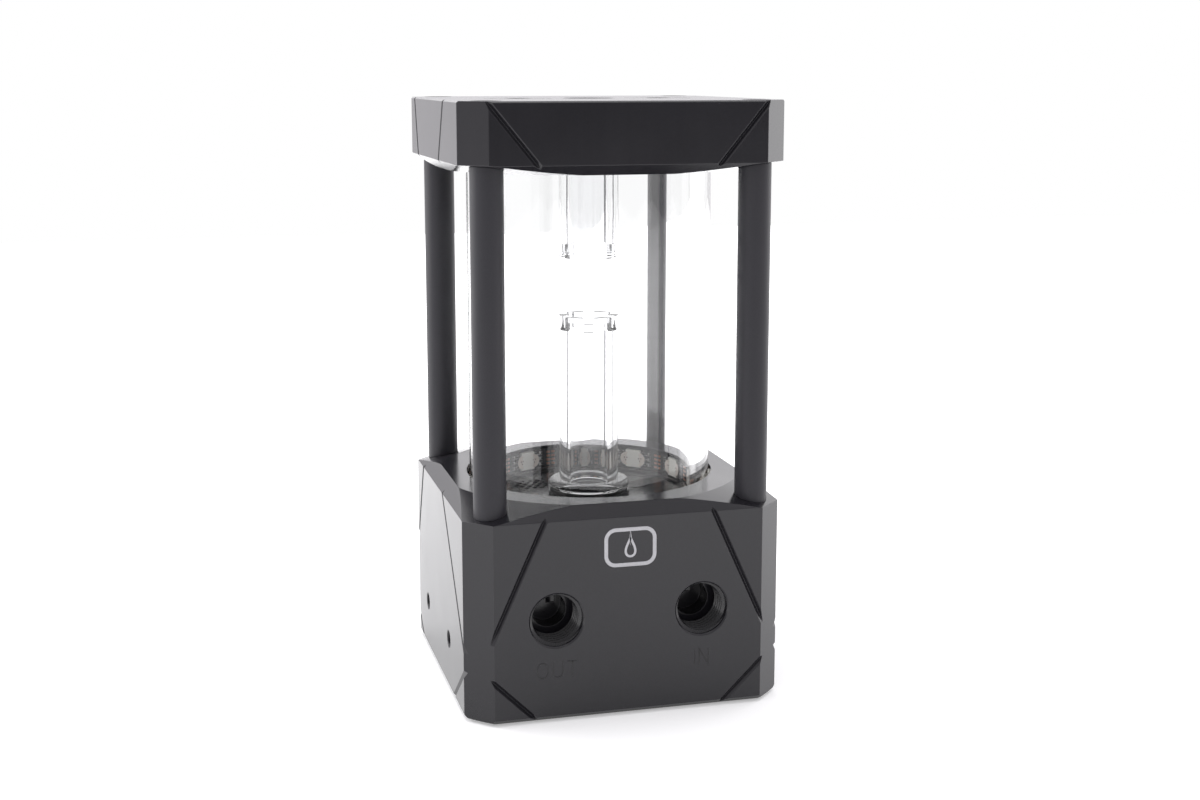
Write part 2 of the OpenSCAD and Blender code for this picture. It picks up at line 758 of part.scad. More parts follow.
// Struts stand on the sloping corner of the deck and meet the cap's
// sloping corner, so both ends are cut to the two bodies.
module strut(sx, sy) color(black) {
  p = [sx * strut_xy, sy * strut_xy];
  difference() {
    translate([p[0], p[1], face_z]) cylinder(r = strut_d / 2, h = cap_z - face_z, $fn = 48);
    rotate_extrude($fn = 128)
      polygon([[0, face_z - 1], [corner_out, face_z - 1], [corner_out, face_z - edge_drop],
               [deck_r, deck_z], [0, deck_z]]);
    rotate_extrude($fn = 128)
      polygon([[0, belly_z], [deck_r, belly_z], [corner_out, cap_z + edge_drop],
               [corner_out, cap_z + 1], [0, cap_z + 1]]);
    translate([p[0], p[1], lower_head_z])
      cylinder(r = strut_screw_d / 2, h = strut_head_h + lower_screw_l + 1);
    translate([p[0], p[1], upper_head_z - upper_screw_l - 1])
      cylinder(r = strut_screw_d / 2, h = top_z - upper_head_z + upper_screw_l);
  }
}

module strut_front_left() strut(-1, -1);
module strut_front_right() strut(1, -1);
module strut_back_left() strut(-1, 1);
module strut_back_right() strut(1, 1);

module strut_screws_lower() color(steel)
  at_corners(strut_xy)
    translate([0, 0, lower_head_z])
      cap_screw(strut_screw_d / 2, lower_screw_l, strut_head_r, strut_head_h);

module strut_screws_upper() color(steel)
  at_corners(strut_xy)
    translate([0, 0, upper_head_z + strut_head_h]) mirror([0, 0, 1])
      cap_screw(strut_screw_d / 2, upper_screw_l, strut_head_r, strut_head_h);

module cap_lines() {
  for (turn = [0, 180], s = [-1, 1]) rotate([0, 0, turn])
    front_line([s * (half_w - corner_cut + 0.6), top_z], [s * 22.2, cap_z]);
  for (m = [0, 1]) mirror([m, 0, 0]) {
    left_line([-15.4, top_z], [-7.9, cap_z]);
    left_line([28.2, top_z], [23.3, cap_z]);
  }
}

module top_cap() color(black) difference() {
  head_r = plug_head_d / 2 + 0.2;
  head_depth = plug_head_t + plug_ring_t;
  translate([0, 0, top_z]) mirror([0, 0, 1])
    deck_body(cap_h, belly_drop, cap_bevel, cap_bevel);
  translate([0, 0, belly_z - 1])
    cylinder(r = tube_r + tube_gap, h = socket_depth + 1, $fn = 96);
  translate([0, 0, ceiling_z - 1])
    cylinder(r = inner_r + slip, h = drop_seat + 1);
  translate([0, 0, ceiling_z]) cylinder(r = inner_bore_r, h = 10);
  translate([0, 0, top_z]) port_cut(top_z - ceiling_z - drop_seat - 1);
  for (s = [-1, 1]) translate([s * port_x, 0, top_z]) {
    translate([0, 0, -20]) cylinder(r = port_d / 2, h = 21);
    translate([0, 0, -head_depth]) cylinder(r = head_r, h = head_depth + 1);
  }
  at_corners(strut_xy) {
    translate([0, 0, upper_head_z]) cylinder(r = strut_head_r + head_gap, h = cap_h);
    translate([0, 0, belly_z]) cylinder(r = strut_screw_d / 2 + screw_gap, h = cap_h);
  }
  cap_lines();
}

module plug(s) color(black) {
  head_z = top_z - plug_head_t;
  translate([s * port_x, 0, 0]) difference() {
    union() {
      translate([0, 0, head_z]) cylinder(r = plug_head_d / 2, h = plug_head_t);
      translate([0, 0, head_z - plug_ring_t - plug_thread_l])
        cylinder(r = port_d / 2 - thread_gap, h = plug_ring_t + plug_thread_l + eps);
    }
    translate([0, 0, top_z - 4])
      cylinder(r = plug_hex / 2 / cos(30), h = 5, $fn = 6);
  }
}

module plug_seal(s) color(seal_black) {
  cord_r = plug_ring_t / 2;
  translate([s * port_x, 0, top_z - plug_head_t - cord_r])
    cord_ring(port_d / 2 + cord_r + 0.1, cord_r);
}

module fill_plug() plug(-1);
module fill_plug_seal() plug_seal(-1);
module vent_plug() plug(1);
module vent_plug_seal() plug_seal(1);

base_housing();
bottom_cover();
cover_screws();
rubber_feet();
cable_grommet();
motor_housing();
motor_screws();
circuit_board();
stator_core();
stator_windings();
separation_can();
can_seal();
shaft_pin();
bearing_bush();
rotor_magnet();
impeller();
volute_plate();
plate_seal();
floor_plate();
floor_grille();
light_strip();
strip_lamps();
tube_seal_lower();
glass_tube();
tube_seal_upper();
riser_tube();
riser_seal();
drop_tube();
strut_front_left();
strut_front_right();
strut_back_left();
strut_back_right();
strut_screws_lower();
strut_screws_upper();
top_cap();
fill_plug();
fill_plug_seal();
vent_plug();
vent_plug_seal();
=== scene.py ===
"""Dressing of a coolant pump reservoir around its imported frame.

A square black pump block carries a clear tube between four struts, and a cap
with the filling ports closes the top. Each sub-assembly is one class that
builds its own small parts and dresses its frame nodes. Lengths are metres.
"""

from __future__ import annotations

import json
import logging
import math
from dataclasses import dataclass, field
from enum import Enum

import bmesh
import bpy
import numpy as np
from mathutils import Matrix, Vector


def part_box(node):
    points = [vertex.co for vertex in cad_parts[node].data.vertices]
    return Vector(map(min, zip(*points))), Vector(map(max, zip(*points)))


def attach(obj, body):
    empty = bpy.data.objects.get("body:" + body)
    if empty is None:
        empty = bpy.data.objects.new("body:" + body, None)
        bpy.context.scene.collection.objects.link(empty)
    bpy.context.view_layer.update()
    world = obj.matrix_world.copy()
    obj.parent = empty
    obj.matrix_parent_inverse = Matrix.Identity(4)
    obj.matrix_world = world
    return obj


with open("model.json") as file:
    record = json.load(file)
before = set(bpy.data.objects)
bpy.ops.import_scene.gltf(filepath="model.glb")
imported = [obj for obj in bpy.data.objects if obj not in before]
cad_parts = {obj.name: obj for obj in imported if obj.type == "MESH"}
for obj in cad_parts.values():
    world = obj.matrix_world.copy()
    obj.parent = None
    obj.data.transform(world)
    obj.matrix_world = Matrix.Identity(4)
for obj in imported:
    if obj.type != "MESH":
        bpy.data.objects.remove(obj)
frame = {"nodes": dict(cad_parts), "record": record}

log = logging.getLogger("reservoir")
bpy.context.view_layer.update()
MM = 0.001
TAU = 2.0 * math.pi
FRAME_BODY = "frame"
Colour = tuple[float, float, float]
Socket = bpy.types.NodeSocket


# ---------------------------------------------------------------- geometry


@dataclass
class Placement:
    """A right-handed local frame: a point, and the directions of x, y and z.

    Attributes:
        origin: Where local (0, 0, 0) lies.
        x_dir: Direction of local x.
        z_dir: Direction of local z.
    """

    origin: tuple[float, float, float]
    x_dir: tuple[float, float, float] = (1.0, 0.0, 0.0)
    z_dir: tuple[float, float, float] = (0.0, 0.0, 1.0)

    def apply(self, points: np.ndarray) -> np.ndarray:
        """Moves points of shape (..., 3): origin + x ex + y (ez x ex) + z ez.

        Args:
            points: Local coordinates.

        Returns:
            The same points in the shared frame.
        """
        x_axis = np.asarray(self.x_dir, float)
        z_axis = np.asarray(self.z_dir, float)
        basis = np.stack([x_axis, np.cross(z_axis, x_axis), z_axis])
        return np.asarray(self.origin, float) + points @ basis


@dataclass
class Shell:
    """Gathers parametric grids and turns them into one closed mesh object."""

    points: list[np.ndarray] = field(default_factory=list)
    faces: list[np.ndarray] = field(default_factory=list)
    count: int = 0

    def grid(self, net: np.ndarray, wrap_rows: bool = False, wrap_columns: bool = True) -> None:
        """Adds a net of points (rows, columns, 3) as quads between neighbours.

        Args:
            net: The points.
            wrap_rows: Joins the last row to the first.
            wrap_columns: Joins the last column to the first.
        """
        rows, columns = net.shape[:2]
        row = np.arange(rows if wrap_rows else rows - 1)
        column = np.arange(columns if wrap_columns else columns - 1)
        i, j = np.meshgrid(row, column, indexing="ij")
        i2, j2 = (i + 1) % rows, (j + 1) % columns
        quads = np.stack([i * columns + j, i * columns + j2, i2 * columns + j2, i2 * columns + j], -1)
        self.points.append(net.reshape(-1, 3))
        self.faces.append(quads.reshape(-1, 4) + self.count)
        self.count += rows * columns

    def build(self, name: str, smooth_deg: float = 30.0) -> bpy.types.Object:
        """Makes the object, with doubles merged and faces turned outwards.

        Args:
            name: The object's name.
            smooth_deg: Edges flatter than this angle shade smoothly.

        Returns:
            The new object, linked to the scene.
        """
        mesh = bpy.data.meshes.new(name)
        mesh.from_pydata(np.concatenate(self.points).tolist(), [], np.concatenate(self.faces).tolist())
        work = bmesh.new()
        work.from_mesh(mesh)
        bmesh.ops.remove_doubles(work, verts=work.verts, dist=1e-7)
        bmesh.ops.dissolve_degenerate(work, edges=work.edges, dist=1e-7)
        bmesh.ops.recalc_face_normals(work, faces=work.faces)
        work.to_mesh(mesh)
        work.free()
        mesh.shade_smooth()
        mesh.set_sharp_from_angle(angle=math.radians(smooth_deg))
        piece = bpy.data.objects.new(name, mesh)
        bpy.context.scene.collection.objects.link(piece)
        return piece


def lathe(profile: np.ndarray, place: Placement, steps: int = 64) -> np.ndarray:
    """Turns a profile about local z: (r cos t, r sin t, z) for t in 0..2 pi.

    Args:
        profile: Points (n, 2) of radius and height.
        place: Where the axis stands.
        steps: Number of points round the axis.

    Returns:
        A net (n, steps, 3), closed round its columns.
    """
    turn = np.arange(steps) * TAU / steps
    radius, height = profile[:, :1], profile[:, 1:]
    local = np.stack(
        [radius * np.cos(turn), radius * np.sin(turn), np.broadcast_to(height, (len(profile), steps))], -1
    )
    return place.apply(local)


def hex_lathe(profile: np.ndarray, hexness: np.ndarray, place: Placement, steps: int = 96) -> np.ndarray:
    """Turns a profile whose radius may follow a hexagon round the axis.

    A hexagon with inscribed radius r lies at r / cos(a), where a is the angle
    from the middle of its nearest side. Each profile point mixes that with the
    plain circle by its hexness, from 0 for round to 1 for six-sided.

    Args:
        profile: Points (n, 2) of radius and height.
        hexness: One value per point.
        place: Where the axis stands.
        steps: Number of points round the axis.

    Returns:
        A net (n, steps, 3), closed round its columns.
    """
    turn = np.arange(steps) * TAU / steps
    side = (turn + math.pi / 6) % (math.pi / 3) - math.pi / 6
    factor = 1.0 + hexness[:, None] * (1.0 / np.cos(side) - 1.0)[None, :]
    radius = profile[:, :1] * factor
    local = np.stack(
        [radius * np.cos(turn), radius * np.sin(turn), np.broadcast_to(profile[:, 1:], radius.shape)], -1
    )
    return place.apply(local)


def helix_ridge(
    root: float,
    crest: float,
    pitch: float,
    start: float,
    end: float,
    place: Placement,
    steps_per_turn: int = 48,
) -> np.ndarray:
    """Thread ridge: a truncated triangle carried along a helix.

    Point k of the section lies at radius R_k and height start + pitch t / 2 pi
    + h_k for the angle t. R_k runs from the root radius to the crest radius,
    and the whole section fades to the root over the first and last third turn.

    Args:
        root: Radius where the ridge stands on its wall.
        crest: Radius of the ridge's flat top.
        pitch: Rise in one turn.
        start: Height of the first turn's middle.
        end: Height of the last turn's middle.
        place: Where the axis stands.
        steps_per_turn: Number of sections in one turn.

    Returns:
        A net (sections, 5, 3), closed round its columns.
    """
    turns = (end - start) / pitch
    t = np.linspace(0.0, turns * TAU, max(8, int(turns * steps_per_turn)))
    fade = np.clip(np.minimum(t, t[-1] - t) / (TAU / 3), 0.0, 1.0)
    fade = fade * fade * (3.0 - 2.0 * fade)
    reach = np.array([0.0, 0.0, 0.92, 1.0, 0.92])
    height = np.array([0.46, -0.46, -0.11, 0.0, 0.11]) * pitch
    radius = root + (crest - root) * reach[None, :] * fade[:, None]
    rise = start + pitch * t[:, None] / TAU + height[None, :] * (0.25 + 0.75 * fade[:, None])
    return place.apply(np.stack([radius * np.cos(t)[:, None], radius * np.sin(t)[:, None], rise], -1))


def stroke(
    path: np.ndarray, width: float, proud: float, place: Placement, closed: bool = False
) -> np.ndarray:
    """A raised line of even width along a flat path, with mitred corners.

    At each path point the section is spread along the mitre m = (n1 + n2) /
    (1 + n1.n2), where n1 and n2 are the normals of the two neighbouring
    stretches. The section is a low trapezium, closed below.

    Args:
        path: Points (n, 2) of the line's middle.
        width: Width of the line.
        proud: Height above the surface.
        place: Local frame, whose z points out of the surface.
        closed: Joins the path's last point to its first.

    Returns:
        A net (n, 4, 3), closed round its columns.
    """
    after = np.roll(path, -1, 0) - path
    before = path - np.roll(path, 1, 0)
    if not closed:
        after[-1], before[0] = before[-1], after[0]
    first, second = (
        np.stack([-step[:, 1], step[:, 0]], -1) / np.linalg.norm(step, axis=1, keepdims=True)
        for step in (before, after)
    )
    mitre = (first + second) / (1.0 + (first * second).sum(1, keepdims=True))
    across = np.array([0.5, -0.5, -0.38, 0.38]) * width
    lift = np.array([-1.0, -1.0, 1.0, 1.0]) * proud
    flat = path[:, None, :] + mitre[:, None, :] * across[None, :, None]
    local = np.concatenate([flat, np.broadcast_to(lift[None, :, None], (*flat.shape[:2], 1))], -1)
    return place.apply(local)


def capped(net: np.ndarray) -> np.ndarray:
    """Adds each end section's middle point, so that the ends are closed."""
    ends = [np.broadcast_to(net[k].mean(0), net[k].shape)[None] for k in (0, -1)]
    return np.concatenate([ends[0], net, ends[1]])


def pillow(
    size: tuple[float, float, float], place: Placement, power: float = 0.25, steps: int = 12
) -> np.ndarray:
    """A soft-edged block: the superellipsoid |x|^(2/p) + |y|^(2/p) + |z|^(2/p) = 1.

    Args:
        size: Full lengths along local x, y and z.
        place: Where its middle lies.
        power: p, small for sharp edges and 1 for an ellipsoid.
        steps: Half the number of points round it.

    Returns:
        A net (steps + 1, 2 steps, 3), closed round its columns.
    """

    def soft(wave: np.ndarray) -> np.ndarray:
        return np.sign(wave) * np.abs(wave) ** power

    rise = np.linspace(-math.pi / 2, math.pi / 2, steps + 1)[:, None]
    turn = (np.arange(2 * steps) * math.pi / steps)[None, :]
    level = soft(np.cos(rise))
    height = soft(np.sin(rise)) + 0.0 * turn
    local = np.stack([level * soft(np.cos(turn)), level * soft(np.sin(turn)), height], -1)
    return place.apply(local * np.asarray(size) / 2.0)


# --------------------------------------------------------------- materials


@dataclass
class Graph:
    """Short calls for placing and joining the nodes of one tree."""

    tree: bpy.types.NodeTree

    def node(
        self, kind: str, inputs: dict[str | int, object] | None = None, **settings: object
    ) -> bpy.types.Node:
        """Adds a node.

        Args:
            kind: The node's type name, without its ShaderNode prefix.
            inputs: Values or output sockets, by input name or number.
            **settings: Properties of the node itself.

        Returns:
            The new node.
        """
        made = self.tree.nodes.new("ShaderNode" + kind)
        for key, value in settings.items():
            setattr(made, key, value)
        for key, value in (inputs or {}).items():
            if isinstance(value, bpy.types.NodeSocket):
                self.tree.links.new(value, made.inputs[key])
            else:
                made.inputs[key].default_value = value
        return made

    def math(self, operation: str, *values: object, clamp: bool = False) -> Socket:
        """Adds a Math node and returns its output."""
        made = self.node("Math", dict(enumerate(values)), operation=operation, use_clamp=clamp)
        return made.outputs[0]

    def ramp(
        self, value: Socket, low: float, high: float, out_low: float = 0.0, out_high: float = 1.0
    ) -> Socket:
        """Maps low..high to out_low..out_high, clamped, and returns the output."""
        inputs = {"Value": value, "From Min": low, "From Max": high, "To Min": out_low, "To Max": out_high}
        return self.node("MapRange", inputs, clamp=True).outputs["Result"]

    def blend(self, share: Socket, first: object, second: object) -> Socket:
        """Mixes two colours by share and returns the result."""
        made = self.node("Mix", {0: share}, data_type="RGBA")
        for number, value in ((6, first), (7, second)):
            if isinstance(value, bpy.types.NodeSocket):
                self.tree.links.new(value, made.inputs[number])
            else:
                made.inputs[number].default_value = (*value, 1.0) if len(value) == 3 else value
        return made.outputs[2]


def new_group(
    name: str, inputs: dict[str, float], outputs: tuple[str, ...]
) -> tuple[Graph, bpy.types.Node, bpy.types.Node]:
    """Starts a shader node group with float inputs and float outputs.

    Args:
        name: The group's name.
        inputs: Input names and their first values.
        outputs: Output names.

    Returns:
        Its graph, its input node and its output node.
    """
    tree = bpy.data.node_groups.new(name, "ShaderNodeTree")
    for label, value in inputs.items():
        tree.interface.new_socket(label, in_out="INPUT", socket_type="NodeSocketFloat").default_value = value
    for label in outputs:
        tree.interface.new_socket(label, in_out="OUTPUT", socket_type="NodeSocketFloat")
    return Graph(tree), tree.nodes.new("NodeGroupInput"), tree.nodes.new("NodeGroupOutput")


class Effect(Enum):
    """The surface effects that several finishes share."""

    GRAIN = "fine_grain"
    SMUDGE = "handling_smudge"
    EDGE = "edge_wear"
    TURNED = "turning_rings"


def build_grain(name: str) -> None:
    """Fine blasted or moulded grain: two sizes of noise added together."""
    graph, given, result = new_group(name, {"Size": 0.0004}, ("Height", "Speckle"))
    place = graph.node("TexCoord").outputs["Object"]
    scale = graph.math("DIVIDE", 1.0, given.outputs["Size"])
    fine = graph.node("TexNoise", {"Vector": place, "Scale": scale, "Detail": 2.0})
    wide_scale = graph.math("MULTIPLY", scale, 0.31)
    coarse = graph.node("TexNoise", {"Vector": place, "Scale": wide_scale, "Detail": 1.0})
    height = graph.math("ADD", fine.outputs["Fac"], graph.math("MULTIPLY", coarse.outputs["Fac"], 0.6))
    graph.tree.links.new(height, result.inputs["Height"])
    graph.tree.links.new(graph.ramp(fine.outputs["Fac"], 0.35, 0.65), result.inputs["Speckle"])


def build_smudge(name: str) -> None:
    """Broad soft patches left by handling, with faint streaks along x + z."""
    graph, given, result = new_group(name, {"Size": 0.02}, ("Value",))
    place = graph.node("TexCoord").outputs["Object"]
    scale = graph.math("DIVIDE", 1.0, given.outputs["Size"])
    patch = graph.node("TexNoise", {"Vector": place, "Scale": scale, "Detail": 3.0, "Distortion": 0.6})
    turned = graph.node("Mapping", {"Vector": place, "Rotation": (0.4, 0.9, 0.2), "Scale": (9.0, 1.0, 1.0)})
    streak = graph.node("TexNoise", {"Vector": turned.outputs[0], "Scale": scale, "Detail": 2.0})
    total = graph.math("ADD", patch.outputs["Fac"], graph.math("MULTIPLY", streak.outputs["Fac"], 0.35))
    graph.tree.links.new(graph.ramp(total, 0.45, 0.9), result.inputs["Value"])


def build_edge(name: str) -> None:
    """Edge mask: how far the surface normal turns when edges are rounded."""
    graph, given, result = new_group(name, {"Radius": 0.0004, "Breakup": 400.0}, ("Mask",))
    rounded = graph.node("Bevel", {"Radius": given.outputs["Radius"]}, samples=6)
    plain = graph.node("NewGeometry").outputs["Normal"]
    dot = graph.node("VectorMath", {0: rounded.outputs[0], 1: plain}, operation="DOT_PRODUCT")
    place = graph.node("TexCoord").outputs["Object"]
    noise = graph.node("TexNoise", {"Vector": place, "Scale": given.outputs["Breakup"], "Detail": 2.0})
    edge = graph.ramp(dot.outputs["Value"], 0.99, 0.86)
    broken = graph.ramp(noise.outputs["Fac"], 0.3, 0.6, 0.35, 1.0)
    graph.tree.links.new(graph.math("MULTIPLY", edge, broken), result.inputs["Mask"])


def build_turned(name: str) -> None:
    """Rings left by a lathe tool round the z axis through the origin."""
    graph, given, result = new_group(name, {"Pitch": 0.0002}, ("Height",))
    place = graph.node("TexCoord").outputs["Object"]
    flat = graph.node("VectorMath", {0: place, 1: (1.0, 1.0, 0.0)}, operation="MULTIPLY").outputs[0]
    radius = graph.node("VectorMath", {0: flat}, operation="LENGTH").outputs["Value"]
    noise = graph.node("TexNoise", {"Vector": place, "Scale": 300.0, "Detail": 1.0})
    angle = graph.math("DIVIDE", graph.math("MULTIPLY", radius, TAU), given.outputs["Pitch"])
    depth = graph.ramp(noise.outputs["Fac"], 0.3, 0.7, 0.4, 1.0)
    height = graph.math("MULTIPLY", graph.math("SINE", angle), depth)
    graph.tree.links.new(height, result.inputs["Height"])


BUILDERS = {
    Effect.GRAIN: build_grain,
    Effect.SMUDGE: build_smudge,
    Effect.EDGE: build_edge,
    Effect.TURNED: build_turned,
}


def effect(graph: Graph, kind: Effect, **values: float) -> bpy.types.Node:
    """Places a shared effect in a material, and builds it on its first use.

    Args:
        graph: The material's graph.
        kind: Which effect.
        **values: The group's own input values.

    Returns:
        The group node.
    """
    if kind.value not in bpy.data.node_groups:
        BUILDERS[kind](kind.value)
    inputs = {label.capitalize(): value for label, value in values.items()}
    return graph.node("Group", inputs, node_tree=bpy.data.node_groups[kind.value])


def new_material(name: str) -> tuple[bpy.types.Material, Graph, bpy.types.Node]:
    """Makes an empty node material and its output node."""
    material = bpy.data.materials.new(name)
    material.use_nodes = True
    graph = Graph(material.node_tree)
    graph.tree.nodes.clear()
    return material, graph, graph.node("OutputMaterial")


SMUDGE_SIZE = 0.022
WEAR_REACH = 1.6


@dataclass(frozen=True)
class Satin:
    """An opaque finish with grain, handling marks and worn edges.

    Attributes:
        name: The material's name.
        base: Main colour.
        mark: Colour that speckle and smudges drift towards.
        worn: Colour of rubbed edges.
        rough: Lowest and highest roughness.
        ior: Index of refraction.
        metal: Metallic share.
        grain: Grain size, 0 for none.
        grain_depth: Grain height.
        wear: How much of the worn colour shows at edges.
        edge: Radius that edges look rounded to.
        turned: Pitch of lathe rings, 0 for none.
        patchy: How far smudges drift the colour.
    """

    name: str
    base: Colour
    mark: Colour
    worn: Colour
    rough: tuple[float, float]
    ior: float = 1.5
    metal: float = 0.0
    grain: float = 0.0003
    grain_depth: float = 0.000004
    wear: float = 0.3
    edge: float = 0.00025
    turned: float = 0.0
    patchy: float = 0.5

    def make(self) -> bpy.types.Material:
        """Builds the material, or returns it if it was built before."""
        if self.name in bpy.data.materials:
            return bpy.data.materials[self.name]
        material, graph, output = new_material(self.name)
        grain = effect(graph, Effect.GRAIN, size=self.grain)
        smudge = effect(graph, Effect.SMUDGE, size=SMUDGE_SIZE).outputs["Value"]
        edge = effect(graph, Effect.EDGE, radius=self.edge * WEAR_REACH).outputs["Mask"]
        drift = graph.math("MULTIPLY", graph.math("ADD", grain.outputs["Speckle"], smudge), self.patchy)
        colour = graph.blend(drift, self.base, self.mark)
        colour = graph.blend(graph.math("MULTIPLY", edge, self.wear), colour, self.worn)
        rough = graph.ramp(smudge, 0.0, 1.0, *self.rough)
        rounded = graph.node("Bevel", {"Radius": self.edge}, samples=6).outputs[0]
        height = grain.outputs["Height"]
        depth = self.grain_depth
        if self.turned:
            rings = effect(graph, Effect.TURNED, pitch=self.turned).outputs["Height"]
            height = graph.math("ADD", height, rings)
        bump = graph.node("Bump", {"Height": height, "Normal": rounded, "Distance": depth, "Strength": 1.0})
        shader = graph.node(
            "BsdfPrincipled",
            {
                "Base Color": colour,
                "Roughness": rough,
                "Metallic": self.metal,
                "IOR": self.ior,
                "Normal": bump.outputs[0],
            },
        )
        graph.tree.links.new(shader.outputs[0], output.inputs["Surface"])
        return material


@dataclass(frozen=True)
class Clear:
    """Clear glass or acrylic that lets lamp light straight through.

    Attributes:
        name: The material's name.
        tint: Colour of the light that passes.
        ior: Index of refraction.
        wave: Height of the surface's slow waves.
    """

    name: str
    tint: Colour
    ior: float
    wave: float = 0.0

    def make(self) -> bpy.types.Material:
        """Builds the material, or returns it if it was built before."""
        if self.name in bpy.data.materials:
            return bpy.data.materials[self.name]
        material, graph, output = new_material(self.name)
        smudge = effect(graph, Effect.SMUDGE, size=0.03).outputs["Value"]
        bump = graph.node("Bump", {"Height": smudge, "Distance": self.wave, "Strength": 1.0})
        glass = graph.node(
            "BsdfPrincipled",
            {
                "Base Color": (*self.tint, 1.0),
                "Roughness": 0.0,
                "IOR": self.ior,
                "Transmission Weight": 1.0,
                "Normal": bump.outputs[0],
            },
        )
        open_way = graph.node("BsdfTransparent", {"Color": (*self.tint, 1.0)})
        light_ray = graph.node("LightPath").outputs["Is Shadow Ray"]
        mix = graph.node("MixShader", {0: light_ray, 1: glass.outputs[0], 2: open_way.outputs[0]})
        graph.tree.links.new(mix.outputs[0], output.inputs["Surface"])
        return material


def dress(node: str, finish: Satin | Clear) -> None:
    """Gives a frame node its finish in every one of its material slots."""
    piece = frame["nodes"][node]
    if not piece.material_slots:
        piece.data.materials.append(finish.make())
    for place in piece.material_slots:
        place.material = finish.make()
    log.info("dressed %s in %s", node, finish.name)


def fit(
    piece: bpy.types.Object, finish: Satin | Clear, body: str = FRAME_BODY
) -> bpy.types.Object:
    """Finishes a new piece and lets it ride.

    Args:
        piece: The new object.
        finish: Its finish.
        body: The body that carries it.

    Returns:
        The piece.
    """
    piece.data.materials.append(finish.make())
    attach(piece, body)
    log.info("made %s, %d faces, on %s", piece.name, len(piece.data.polygons), body)
    return piece


BLOCK = Satin(
    "block_black", (0.013, 0.0125, 0.0155), (0.018, 0.017, 0.021), (0.05, 0.05, 0.056),
    (0.15, 0.19), 1.47, patchy=0.3,
)
STRUT = Satin(
    "strut_black", (0.022, 0.021, 0.026), (0.028, 0.027, 0.033), (0.05, 0.05, 0.056), (0.42, 0.5),
    1.42,
)
PLUG = Satin(
    "plug_black", (0.012, 0.012, 0.014), (0.02, 0.02, 0.022), (0.08, 0.08, 0.085), (0.22, 0.34),
    1.55, turned=0.00018, grain_depth=0.000006,
)
THREAD = Satin(
    "thread_black", (0.012, 0.012, 0.014), (0.02, 0.02, 0.022), (0.09, 0.09, 0.095), (0.16, 0.24),
    1.55, edge=0.0001,
)
RUBBER = Satin(
    "rubber_black", (0.012, 0.012, 0.012), (0.02, 0.02, 0.02), (0.03, 0.03, 0.03), (0.55, 0.75),
    1.5, grain=0.0005, grain_depth=0.00001,
)
STEEL = Satin(
    "screw_black_oxide", (0.16, 0.16, 0.165), (0.22, 0.22, 0.225), (0.5, 0.5, 0.5), (0.25, 0.4),
    1.5, metal=1.0, turned=0.00015,
)
FLOOR = Satin(
    "floor_black", (0.012, 0.012, 0.014), (0.018, 0.018, 0.02), (0.05, 0.05, 0.055), (0.12, 0.22),
    1.52, turned=0.0003,
)
STRIP = Satin(
    "strip_black", (0.016, 0.013, 0.013), (0.024, 0.02, 0.02), (0.05, 0.04, 0.04), (0.3, 0.45),
    1.5, grain=0.0002,
)
LAMP = Satin(
    "lamp_white", (0.82, 0.78, 0.76), (0.74, 0.68, 0.66), (0.85, 0.83, 0.8), (0.35, 0.5), 1.5,
    grain=0.0006, edge=0.0001,
)
LENS = Satin(
    "lamp_gel", (0.86, 0.8, 0.74), (0.8, 0.7, 0.62), (0.86, 0.8, 0.74), (0.08, 0.16), 1.45,
    edge=0.00005,
)
CHIP = Satin(
    "lamp_chip", (0.1, 0.03, 0.03), (0.22, 0.08, 0.07), (0.3, 0.1, 0.1), (0.3, 0.4), 1.5,
    edge=0.00005,
)
SOLDER = Satin(
    "solder_bright", (0.62, 0.61, 0.6), (0.5, 0.49, 0.48), (0.75, 0.75, 0.74), (0.22, 0.4), 1.5,
    metal=1.0, edge=0.00005,
)
COPPER = Satin(
    "copper_pad", (0.62, 0.3, 0.18), (0.5, 0.24, 0.16), (0.75, 0.45, 0.3), (0.3, 0.45), 1.5,
    metal=0.7, edge=0.00005,
)
PRINT = Satin(
    "print_white", (0.66, 0.65, 0.66), (0.5, 0.49, 0.5), (0.7, 0.7, 0.7), (0.5, 0.6), 1.45,
    edge=0.00003, grain=0.00015,
)
WHITE = Satin(
    "inlay_white", (0.6, 0.6, 0.62), (0.5, 0.5, 0.52), (0.66, 0.66, 0.68), (0.3, 0.42), 1.5,
    edge=0.00008,
)
# Painted shade: this near-black stands in for the shade inside the engraved flow words.
GROOVE_SHADE = Satin(
    "carved_black", (0.006, 0.006, 0.007), (0.009, 0.009, 0.01), (0.04, 0.04, 0.045), (0.4, 0.5),
    1.5, edge=0.00008,
)
BOARD = Satin(
    "board_green", (0.015, 0.09, 0.04), (0.02, 0.12, 0.05), (0.05, 0.2, 0.1), (0.25, 0.4), 1.5,
)
CORE = Satin(
    "core_steel", (0.32, 0.32, 0.34), (0.4, 0.4, 0.42), (0.5, 0.5, 0.5), (0.3, 0.5), 1.5,
    metal=1.0,
)
WIRE = Satin(
    "winding_copper", (0.55, 0.2, 0.07), (0.66, 0.28, 0.1), (0.7, 0.35, 0.15), (0.2, 0.35), 1.5,
    metal=1.0, grain=0.0004, grain_depth=0.00003,
)
CAN = Satin(
    "can_plastic", (0.5, 0.47, 0.4), (0.55, 0.52, 0.45), (0.6, 0.58, 0.52), (0.35, 0.5), 1.5,
)
CERAMIC = Satin(
    "shaft_ceramic", (0.8, 0.79, 0.76), (0.75, 0.74, 0.7), (0.85, 0.85, 0.82), (0.1, 0.2), 1.6,
)
CARBON = Satin(
    "bush_carbon", (0.03, 0.03, 0.032), (0.05, 0.05, 0.052), (0.08, 0.08, 0.08), (0.35, 0.5), 1.6,
)
MAGNET = Satin(
    "magnet_dark", (0.05, 0.05, 0.055), (0.07, 0.07, 0.075), (0.15, 0.15, 0.15), (0.4, 0.6), 1.6,
)
